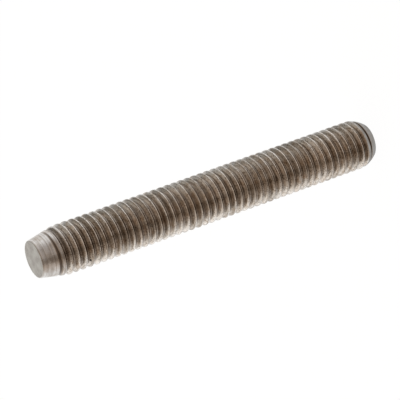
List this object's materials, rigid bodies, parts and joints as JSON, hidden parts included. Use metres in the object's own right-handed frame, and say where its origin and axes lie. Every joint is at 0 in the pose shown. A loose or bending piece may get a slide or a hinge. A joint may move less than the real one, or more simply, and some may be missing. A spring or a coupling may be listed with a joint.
{
  "type": "exhaust stud",
  "caption": "Fully threaded stainless stud with a long tapered pilot at one end and a short crowned foot at the other.",
  "frame": {"origin": "centre of the flat foot face, at the crowned end", "axes": "+Z along the stud's axis, from the crowned foot to the tapered pilot end"},
  "size_m": [0.0098, 0.0098, 0.0754],
  "materials": {
    "stainless_steel": "rolled and turned stainless steel, satin"
  },
  "bodies": {
    "root": {"stud": "stainless_steel"}
  },
  "joints": []
}
